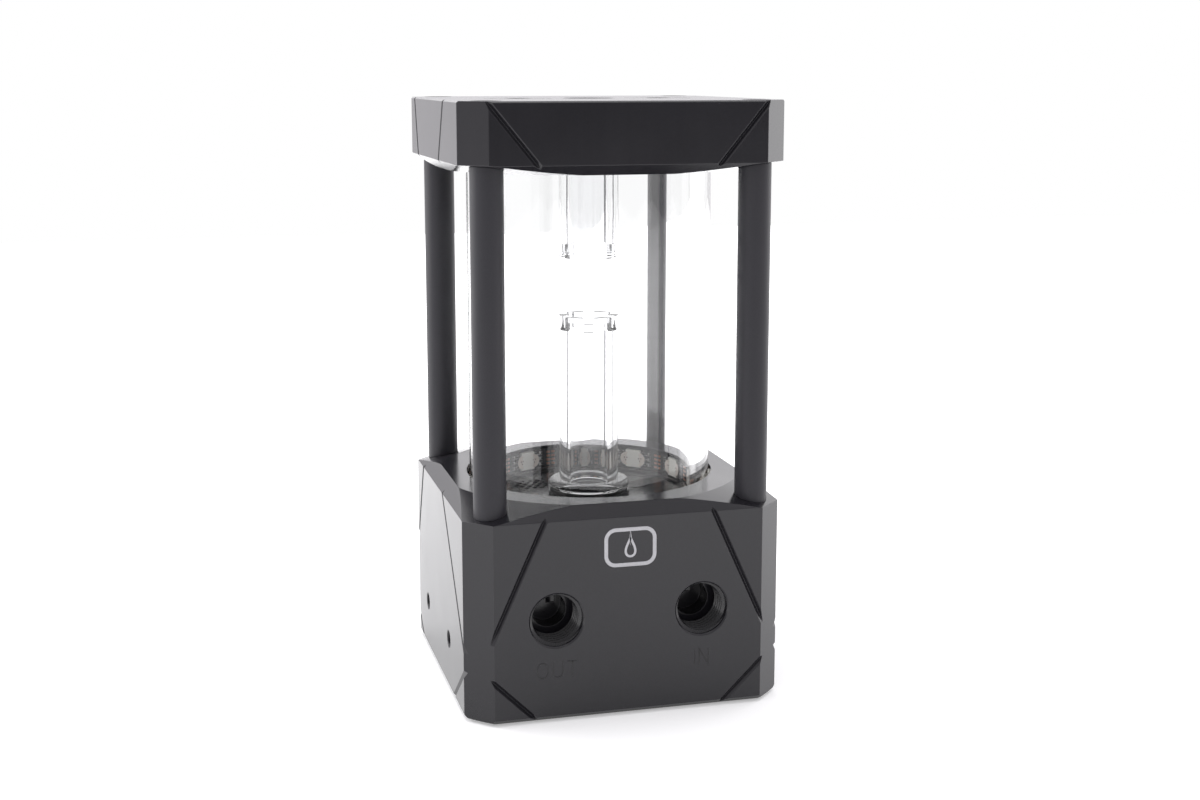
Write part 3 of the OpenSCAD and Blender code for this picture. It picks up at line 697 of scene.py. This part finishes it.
VANE = Satin(
    "impeller_white", (0.7, 0.7, 0.68), (0.64, 0.64, 0.62), (0.75, 0.75, 0.73), (0.3, 0.45), 1.5,
)
MOULDED = Satin(
    "moulded_black", (0.02, 0.02, 0.022), (0.03, 0.03, 0.032), (0.06, 0.06, 0.06), (0.4, 0.55),
    1.5, grain=0.0005, grain_depth=0.00001,
)
GLASS = Clear("tube_glass", (0.992, 0.994, 0.996), 1.474, 0.0000004)
ACRYLIC = Clear("tube_acrylic", (0.985, 0.986, 0.992), 1.491, 0.000001)


# ------------------------------------------------------------ sub-assemblies


def mount(name: str) -> dict:
    """The record's entry for a mount."""
    return next(m for m in frame["record"]["mounts"] if m["name"] == name)


@dataclass
class ThreadedPort:
    """Thread ridges inside one G1/4 port of the frame.

    Attributes:
        mount_name: The port's mount in the record.
        mouth: How far out along the port's axis its mouth lies.
        body: The body it rides on.
        pitch: Rise of one turn, 19 turns to the inch.
        depth_of_thread: Height of a ridge above the major radius.
        clear_start: Plain length inside the mouth.
        threaded: Length that carries the thread.
        sink: How far the ridge's root lies inside the wall.
    """

    mount_name: str
    mouth: float
    body: str = FRAME_BODY
    pitch: float = 25.4 * MM / 19.0
    depth_of_thread: float = 0.82 * MM
    clear_start: float = 1.1 * MM
    threaded: float = 8.0 * MM
    sink: float = 0.04 * MM

    def build(self) -> None:
        """Makes the ridges: helix inwards from the bore's wall."""
        facts = mount(self.mount_name)
        axis = np.array(facts["axis"], float)
        point = np.array(facts["pos_m"], float)
        point = point + axis * (self.mouth - point @ axis)
        place = Placement(tuple(point), (1.0, 0.0, 0.0), tuple(-axis))
        radius = facts["dims"]["r_mm"] * MM
        shell = Shell()
        net = helix_ridge(
            radius + self.sink,
            radius - self.depth_of_thread,
            self.pitch,
            self.clear_start,
            self.clear_start + self.threaded,
            place,
        )
        shell.grid(capped(net))
        fit(shell.build(f"{self.mount_name}_thread", 20.0), THREAD, self.body)


@dataclass
class Badge:
    """White inlaid mark on the front: a rounded frame round a water drop.

    Attributes:
        width: Width of the frame.
        height: Height of the frame.
        corner: Radius of its corners.
        line: Width of its line.
        drop: Half the width and half the height of the drop.
        drop_line: Width of the drop's line.
        centre_z: Height of its middle.
        proud: How far it stands out of the face.
    """

    width: float = 13.2 * MM
    height: float = 9.8 * MM
    corner: float = 2.4 * MM
    line: float = 1.05 * MM
    drop: tuple[float, float] = (1.75 * MM, 2.35 * MM)
    drop_line: float = 0.651 * MM
    centre_z: float = 42.5 * MM
    proud: float = 0.03 * MM

    def frame_path(self, steps: int = 10) -> np.ndarray:
        """Rounded rectangle: quarter circles of the corner radius at four corners."""
        quarter = np.linspace(0.0, math.pi / 2, steps)
        arc = np.stack([np.cos(quarter), np.sin(quarter)], -1) * self.corner
        inner_x = self.width / 2 - self.line / 2 - self.corner
        inner_z = self.height / 2 - self.line / 2 - self.corner
        turns = [np.array([[c, s], [-s, c]]) for c, s in ((1, 0), (0, 1), (-1, 0), (0, -1))]
        signs = np.array([[1, 1], [-1, 1], [-1, -1], [1, -1]])
        middles = signs * np.array([inner_x, inner_z])
        return np.concatenate([arc @ turn + middle for turn, middle in zip(turns, middles)])

    def drop_path(self, steps: int = 48) -> np.ndarray:
        """Drop outline: x = a sin t (sin t/2)^1.6, z = b cos t, for t in 0..2 pi."""
        t = np.arange(steps) * TAU / steps
        wide, high = self.drop
        return np.stack([wide * np.sin(t) * np.abs(np.sin(t / 2)) ** 1.6, high * np.cos(t)], -1)

    def build(self, face_y: float) -> None:
        """Lays the two lines on the front face.

        Args:
            face_y: Where the front face lies.
        """
        place = Placement((0.0, face_y, self.centre_z), (1.0, 0.0, 0.0), (0.0, -1.0, 0.0))
        shell = Shell()
        shell.grid(stroke(self.frame_path(), self.line, self.proud, place, closed=True), wrap_rows=True)
        shell.grid(stroke(self.drop_path(), self.drop_line, self.proud, place, closed=True), wrap_rows=True)
        fit(shell.build("badge_mark", 40.0), WHITE)


@dataclass
class CarvedWords:
    """The two flow words under the front ports, in plain stroke letters. Their near-black fill is painted
    shade that stands in for the shade inside engraved letters.

    Attributes:
        height: Height of a capital.
        line: Width of a stroke.
        gap: Space between letters, in letter heights.
        centre_z: Height of the words' middle.
        proud: How far the stroke's fill stands out.
        bow_points: Points round the closed bow of a letter.
    """

    height: float = 3.8 * MM
    line: float = 0.42 * MM
    gap: float = 0.3
    centre_z: float = 13.2 * MM
    proud: float = 0.012 * MM
    bow_points: int = 24

    def letter(self, key: str) -> tuple[list[np.ndarray], float]:
        """The strokes of a letter in units of its height, and its width."""
        bow = np.arange(self.bow_points) * TAU / self.bow_points
        half = np.linspace(math.pi, TAU, 13)
        round_o = np.stack([0.38 + 0.36 * np.cos(bow), 0.5 + 0.5 * np.sin(bow)], -1)
        cup = np.stack([0.32 + 0.32 * np.cos(half), 0.32 + 0.32 * np.sin(half)], -1)
        shapes = {
            "O": ([round_o], 0.76),
            "U": ([np.concatenate([[[0.0, 1.0]], cup, [[0.64, 1.0]]])], 0.64),
            "T": ([np.array([[0.0, 1.0], [0.66, 1.0]]), np.array([[0.33, 1.0], [0.33, 0.0]])], 0.66),
            "I": ([np.array([[0.0, 0.0], [0.0, 1.0]])], 0.0),
            "N": ([np.array([[0.0, 0.0], [0.0, 1.0], [0.62, 0.0], [0.62, 1.0]])], 0.62),
        }
        return shapes[key]

    def build(self, word: str, centre_x: float, face_y: float) -> None:
        """Draws one word.

        Args:
            word: Its letters.
            centre_x: Its middle along the face.
            face_y: Where the front face lies.
        """
        letters = [self.letter(key) for key in word]
        total = sum(width for _, width in letters) + self.gap * (len(letters) - 1)
        place = Placement((centre_x, face_y, self.centre_z), (1.0, 0.0, 0.0), (0.0, -1.0, 0.0))
        shell = Shell()
        at = -total / 2
        for strokes, width in letters:
            for path in strokes:
                loop = len(path) == self.bow_points
                flat = (path + np.array([at, -0.5])) * self.height
                net = stroke(flat, self.line, self.proud, place, closed=loop)
                shell.grid(net if loop else capped(net), wrap_rows=loop)
            at += width + self.gap
        # The strokes' dark finish is painted shade in place of engraved grooves.
        fit(shell.build(f"word_{word.lower()}", 40.0), GROOVE_SHADE)


@dataclass
class PumpBlock:
    """The square block with its ports, cover, feet and cable way."""

    finish: Satin = BLOCK

    def build(self) -> None:
        """Dresses the block and adds threads, words and the badge."""
        low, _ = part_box("base_housing")
        dress("base_housing", self.finish)
        dress("bottom_cover", self.finish)
        dress("cover_screws", STEEL)
        dress("rubber_feet", RUBBER)
        dress("cable_grommet", RUBBER)
        face_y = low[1]
        for name in ("outlet_port", "inlet_port"):
            ThreadedPort(name, -face_y).build()
        words = CarvedWords()
        for word, name in (("OUT", "outlet_port"), ("IN", "inlet_port")):
            words.build(word, mount(name)["pos_m"][0], face_y)
        Badge().build(face_y)


@dataclass
class PumpInside:
    """Motor, magnet, impeller and the seals shut inside the block."""

    finishes: dict[str, Satin] = field(
        default_factory=lambda: {
            "motor_housing": MOULDED,
            "motor_screws": STEEL,
            "circuit_board": BOARD,
            "stator_core": CORE,
            "stator_windings": WIRE,
            "separation_can": CAN,
            "can_seal": RUBBER,
            "shaft_pin": CERAMIC,
            "bearing_bush": CARBON,
            "rotor_magnet": MAGNET,
            "impeller": VANE,
            "volute_plate": MOULDED,
            "plate_seal": RUBBER,
        }
    )

    def build(self) -> None:
        """Dresses each inner piece."""
        for node, finish in self.finishes.items():
            dress(node, finish)


@dataclass(frozen=True)
class Chunk:
    """A small soft-edged part of the light strip.

    Attributes:
        size: Lengths along, up and out of the strip.
        power: Roundness of its edges, small for sharp ones.
        steps: Half the number of points round it.
    """

    size: tuple[float, float, float]
    power: float
    steps: int

    def add(
        self, shell: Shell, place: Placement, along: float = 0.0, up: float = 0.0, out: float = 0.0
    ) -> None:
        """Adds it to a shell, moved along, up and out in the local frame."""
        spot = tuple(place.apply(np.array([along, up, out])))
        shell.grid(pillow(self.size, Placement(spot, place.x_dir, place.z_dir), self.power, self.steps))


LAMP_DIE = Chunk((0.34 * MM, 0.34 * MM, 0.12 * MM), 0.3, 4)
LAMP_JOINT = Chunk((0.7 * MM, 0.8 * MM, 0.3 * MM), 0.5, 5)
COPPER_PAD = Chunk((1.3 * MM, 0.65 * MM, 0.08 * MM), 0.25, 4)
PRINT_DASH = Chunk((0.42 * MM, 0.2 * MM, 0.05 * MM), 0.3, 3)
RESISTOR = Chunk((0.55 * MM, 1.1 * MM, 0.5 * MM), 0.2, 5)
RESISTOR_END = Chunk((0.62 * MM, 0.4 * MM, 0.52 * MM), 0.4, 4)


@dataclass
class LightPocket:
    """The pocket under the tube: floor, grille, strip and its lamps.

    Attributes:
        window: Profile of a lamp's gel window: radius and height.
        die_spots: Places of the three dies on a lamp's face, along and up.
        die_out: How far the dies stand out of that face.
        joint_along: Distance of the solder joints from a lamp's middle.
        joint_out: Their place in front of the lamp's face.
        joint_rows: Heights of the joints on each side of a lamp.
        pad_along: Distance of the copper pads from the middle of a gap.
        pad_out: How far the pads' middles stand out of the strip.
        pad_rise: Spacing of the four pads up the strip.
        print_along: Distance of the first printed column from that middle.
        print_step: Spacing of the printed dashes along and up.
        resistor_at: Place of a resistor, along and up from that middle.
        resistor_half: Distance of its ends from its middle.
        skin: Thickness of the strip.
        lamp_turn: Angle that is wider than any gap within one lamp.
    """

    window: tuple[tuple[float, float], ...] = (
        (0.0, 0.02 * MM),
        (1.26 * MM, 0.02 * MM),
        (1.674 * MM, 0.05 * MM),
        (1.8 * MM, 0.06 * MM),
        (1.8 * MM, -0.1 * MM),
        (0.0, -0.1 * MM),
    )
    die_spots: tuple[tuple[float, float], ...] = (
        (-0.45 * MM, 0.25 * MM),
        (0.4 * MM, 0.3 * MM),
        (0.0, -0.45 * MM),
    )
    die_out: float = 0.03 * MM
    joint_along: float = 2.75 * MM
    joint_out: float = -1.25 * MM
    joint_rows: tuple[float, ...] = (-1.6 * MM, 0.0, 1.6 * MM)
    pad_along: float = 0.8 * MM
    pad_out: float = 0.03 * MM
    pad_rise: float = 1.1 * MM
    print_along: float = 3.1 * MM
    print_step: tuple[float, float] = (0.75 * MM, 0.72 * MM)
    resistor_at: tuple[float, float] = (4.6 * MM, 0.6 * MM)
    resistor_half: float = 0.55 * MM
    skin: float = 0.3 * MM
    lamp_turn: float = math.radians(6)

    def lamp_places(self) -> list[tuple[float, float, float]]:
        """Angle, height and radius of each lamp's face, read from its solid."""
        mesh = frame["nodes"]["strip_lamps"].data
        points = np.empty(len(mesh.vertices) * 3)
        mesh.vertices.foreach_get("co", points)
        points = points.reshape(-1, 3)
        angle = np.arctan2(points[:, 1], points[:, 0])
        order = np.argsort(angle)
        splits = np.flatnonzero(np.diff(angle[order]) > self.lamp_turn) + 1
        places = []
        for group in np.split(order, splits):
            lamp = points[group]
            middle = lamp.mean(0)
            turn = math.atan2(middle[1], middle[0])
            inward = lamp[:, 0] * math.cos(turn) + lamp[:, 1] * math.sin(turn)
            height = float(lamp[:, 2].min() + lamp[:, 2].max()) / 2
            places.append((turn, height, float(inward.min())))
        return places

    def on_wall(self, turn: float, height: float, radius: float) -> Placement:
        """Local frame on the strip: x along it, y up, z towards the pocket's middle."""
        out = (math.cos(turn), math.sin(turn), 0.0)
        along = (math.sin(turn), -math.cos(turn), 0.0)
        return Placement((out[0] * radius, out[1] * radius, height), along, (-out[0], -out[1], 0.0))

    def lamp_details(
        self, lamps: list[tuple[float, float, float]], window: Shell, die: Shell, solder: Shell
    ) -> None:
        """Puts a window, three dies and six solder joints on each lamp.

        Args:
            lamps: Angle, height and radius of each lamp's face.
            window: Gathers the windows.
            die: Gathers the dies.
            solder: Gathers the solder joints.
        """
        for lamp in lamps:
            place = self.on_wall(*lamp)
            window.grid(lathe(np.array(self.window), place, 32))
            for along, up in self.die_spots:
                LAMP_DIE.add(die, place, along, up, self.die_out)
            for side in (-1, 1):
                for up in self.joint_rows:
                    LAMP_JOINT.add(solder, place, side * self.joint_along, up, self.joint_out)

    def gap_details(self, turn: float, height: float, radius: float, shells: dict[str, Shell]) -> None:
        """Puts pads, printed dashes and two resistors between two lamps.

        Args:
            turn: Angle of the gap's middle.
            height: Height of the strip's middle.
            radius: Radius of the strip's face.
            shells: Gather the pads, dashes, resistors and solder, by name.
        """
        for row in range(4):
            place = self.on_wall(turn, height + (row - 1.5) * self.pad_rise, radius)
            for side in (-1, 1):
                COPPER_PAD.add(shells["copper"], place, side * self.pad_along, 0.0, self.pad_out)
        step_along, step_up = self.print_step
        resistor_along, resistor_up = self.resistor_at
        for side in (-1, 1):
            for column in range(2):
                column_turn = turn + side * (self.print_along + column * step_along) / radius
                for row in range(6):
                    place = self.on_wall(column_turn, height + (row - 2.5) * step_up, radius)
                    PRINT_DASH.add(shells["print"], place)
            place = self.on_wall(turn + side * resistor_along / radius, height + side * resistor_up, radius)
            RESISTOR.add(shells["resistor"], place)
            for end in (-1, 1):
                RESISTOR_END.add(shells["solder"], place, 0.0, end * self.resistor_half)

    def build(self) -> None:
        """Dresses the pocket and adds the strip's small parts."""
        dress("floor_plate", FLOOR)
        dress("floor_grille", FLOOR)
        dress("light_strip", STRIP)
        dress("strip_lamps", LAMP)
        low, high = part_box("light_strip")
        face_r = max(abs(low[0]), abs(high[0]), abs(high[1])) - self.skin
        lamps = self.lamp_places()
        shells = {name: Shell() for name in ("window", "die", "solder", "copper", "print", "resistor")}
        self.lamp_details(lamps, shells["window"], shells["die"], shells["solder"])
        for this_lamp, next_lamp in zip(lamps, lamps[1:]):
            self.gap_details((this_lamp[0] + next_lamp[0]) / 2, this_lamp[1], face_r, shells)
        fit(shells["window"].build("lamp_windows"), LENS)
        fit(shells["die"].build("lamp_chips"), CHIP)
        fit(shells["solder"].build("strip_solder"), SOLDER)
        fit(shells["copper"].build("strip_pads"), COPPER)
        fit(shells["print"].build("strip_print"), PRINT)
        fit(shells["resistor"].build("strip_resistors"), MOULDED)


@dataclass
class Reservoir:
    """The glass tube, its flat rings and the two inner tubes."""

    def build(self) -> None:
        """Dresses the clear pieces and their seals."""
        dress("glass_tube", GLASS)
        dress("riser_tube", ACRYLIC)
        dress("drop_tube", ACRYLIC)
        for ring in ("tube_seal_lower", "tube_seal_upper", "riser_seal"):
            dress(ring, RUBBER)


@dataclass
class StrutSet:
    """Four round struts and the screws that pull the cap down."""

    def build(self) -> None:
        """Dresses the struts and their screws."""
        for side in ("front_left", "front_right", "back_left", "back_right"):
            dress(f"strut_{side}", STRUT)
        for end in ("lower", "upper"):
            dress(f"strut_screws_{end}", STEEL)


@dataclass
class Cap:
    """The cap, its middle port's thread and the two threaded plugs.

    Attributes:
        finish: The cap's finish.
        threaded: Length of the middle port's thread.
    """

    finish: Satin = BLOCK
    threaded: float = 5.0 * MM

    def build(self) -> None:
        """Dresses the cap and adds the port's thread."""
        dress("top_cap", self.finish)
        _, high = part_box("top_cap")
        ThreadedPort("top_port", high[2], threaded=self.threaded).build()
        for name in ("fill", "vent"):
            dress(f"{name}_plug", PLUG)
            dress(f"{name}_plug_seal", RUBBER)


# ------------------------------------------------------------------- studio


@dataclass(frozen=True)
class SoftBox:
    """A rectangular lamp that faces the object's middle.

    Attributes:
        name: The lamp's name.
        at: Where it hangs.
        size: Its width and height.
        power: Its power.
        aim: The point that it faces.
    """

    name: str
    at: tuple[float, float, float]
    size: tuple[float, float]
    power: float
    aim: tuple[float, float, float] = (0.0, 0.0, 0.07)

    def build(self) -> None:
        """Hangs the lamp, which lights and is mirrored but isn't seen itself."""
        data = bpy.data.lights.new(self.name, "AREA")
        data.shape = "RECTANGLE"
        data.size, data.size_y = self.size
        data.energy = self.power
        rig = bpy.data.objects.new(self.name, data)
        rig.location = self.at
        way = np.array(self.aim) - np.array(self.at)
        tilt = math.atan2(math.hypot(way[0], way[1]), -way[2])
        rig.rotation_euler = (tilt, 0.0, math.atan2(way[1], way[0]) - math.pi / 2)
        rig.visible_camera = False
        rig.visible_transmission = False
        bpy.context.scene.collection.objects.link(rig)


@dataclass
class Studio:
    """Pale floor, soft lamps and the camera.

    Attributes:
        lens: Focal length for a sensor 36 wide.
        eye: Where the camera stands.
        heading_deg: Turn of its view from +y towards +x.
        dip_deg: How far it looks down.
        rise_shift: Vertical shift of the lens, in widths of the view.
        front_light: What surfaces mirror from the side in front of the object.
        fill_light: What the surround adds to matt surfaces.
        tint: Colour of the surround where it only lights.
        floor_half: Half the floor's width.
        floor_tones: The two greys that the floor drifts between.
        floor_glow: What the floor adds to its light near the object, and far away.
        glow_reach: Distances between which that glow grows.
        boxes: The lamps.
    """

    lens: float = 50.457
    eye: tuple[float, float, float] = (-0.10849, -0.41735, 0.15566)
    heading_deg: float = 14.965
    dip_deg: float = 9.24
    rise_shift: float = -0.0458
    front_light: float = 0.25
    fill_light: float = 0.75
    tint: Colour = (0.985, 0.965, 1.0)
    floor_half: float = 1.2
    floor_tones: tuple[Colour, Colour] = ((0.80, 0.80, 0.805), (0.82, 0.82, 0.825))
    floor_glow: tuple[float, float] = (0.35, 1.0)
    glow_reach: tuple[float, float] = (0.06, 0.5)
    boxes: tuple[SoftBox, ...] = (
        SoftBox("box_left", (-0.75, 0.35, 0.45), (0.7, 0.9), 4.0),
        SoftBox("box_right", (0.8, 0.25, 0.4), (0.5, 0.8), 2.0),
        SoftBox("box_top", (-0.1, 0.15, 0.95), (0.9, 0.9), 5.0),
        SoftBox("box_back", (0.3, 1.3, 0.72), (2.2, 0.75), 4.2),
    )

    def camera(self) -> None:
        """Places the camera."""
        data = bpy.data.cameras.new("camera")
        data.lens = self.lens
        data.sensor_width = 36.0
        data.shift_y = self.rise_shift
        data.clip_start = 0.01
        data.clip_end = 50.0
        rig = bpy.data.objects.new("camera", data)
        rig.location = self.eye
        rig.rotation_euler = (math.radians(90.0 - self.dip_deg), 0.0, math.radians(-self.heading_deg))
        bpy.context.scene.collection.objects.link(rig)
        bpy.context.scene.camera = rig

    def world(self) -> None:
        """White where it is seen; where it only lights, dimmer and darker in front."""
        world = bpy.data.worlds.new("surround")
        bpy.context.scene.world = world
        world.use_nodes = True
        graph = Graph(world.node_tree)
        graph.tree.nodes.clear()
        path = graph.node("LightPath")
        seen = graph.math("MAXIMUM", path.outputs["Is Camera Ray"], path.outputs["Is Transmission Ray"])
        place = graph.node("TexCoord").outputs["Generated"]
        depth = graph.node("SeparateXYZ", {0: place}).outputs["Y"]
        room = graph.ramp(depth, -0.95, -0.2, self.front_light, 1.0)
        mirrored = graph.math("MULTIPLY", path.outputs["Is Glossy Ray"], room)
        fill = graph.math("MULTIPLY", path.outputs["Is Diffuse Ray"], self.fill_light)
        light = graph.math("MAXIMUM", graph.math("MAXIMUM", seen, mirrored), fill)
        colour = graph.blend(seen, self.tint, (1.0, 1.0, 1.0))
        sky = graph.node("Background", {"Color": colour, "Strength": light})
        graph.tree.links.new(sky.outputs[0], graph.node("OutputWorld").inputs["Surface"])

    def floor(self) -> None:
        """A floor that reads white, glows more with distance and keeps the soft shadow."""
        corners = np.array([[[-1.0, -1.0, 0.0], [1.0, -1.0, 0.0]], [[-1.0, 1.0, 0.0], [1.0, 1.0, 0.0]]])
        shell = Shell()
        shell.grid(corners * self.floor_half, wrap_columns=False)
        floor = shell.build("floor")
        material, graph, output = new_material("floor_pale")
        place = graph.node("TexCoord").outputs["Object"]
        noise = graph.node("TexNoise", {"Vector": place, "Scale": 6.0, "Detail": 2.0}).outputs["Fac"]
        colour = graph.blend(noise, *self.floor_tones)
        path = graph.node("LightPath")
        seen = graph.math("MAXIMUM", path.outputs["Is Camera Ray"], path.outputs["Is Transmission Ray"])
        seen = graph.math("MAXIMUM", seen, path.outputs["Is Glossy Ray"])
        reach = graph.node("VectorMath", {0: place}, operation="LENGTH").outputs["Value"]
        fill = graph.math("MULTIPLY", seen, graph.ramp(reach, *self.glow_reach, *self.floor_glow))
        matt = graph.node("BsdfDiffuse", {"Color": colour})
        glow = graph.node("Emission", {"Color": (1.0, 1.0, 1.0, 1.0), "Strength": fill})
        total = graph.node("AddShader", {0: matt.outputs[0], 1: glow.outputs[0]})
        graph.tree.links.new(total.outputs[0], output.inputs["Surface"])
        floor.data.materials.append(material)

    def build(self) -> None:
        """Sets up the whole stage."""
        self.camera()
        self.world()
        self.floor()
        for box in self.boxes:
            box.build()
        bpy.context.scene.view_settings.view_transform = "Standard"


def main() -> None:
    """Builds the classes in order."""
    logging.basicConfig(level=logging.INFO, format="%(name)s: %(message)s")
    for part in (PumpBlock(), PumpInside(), LightPocket(), Reservoir(), StrutSet(), Cap(), Studio()):
        part.build()
        log.info("%s ready", type(part).__name__)


if __name__ == "__main__":
    main()
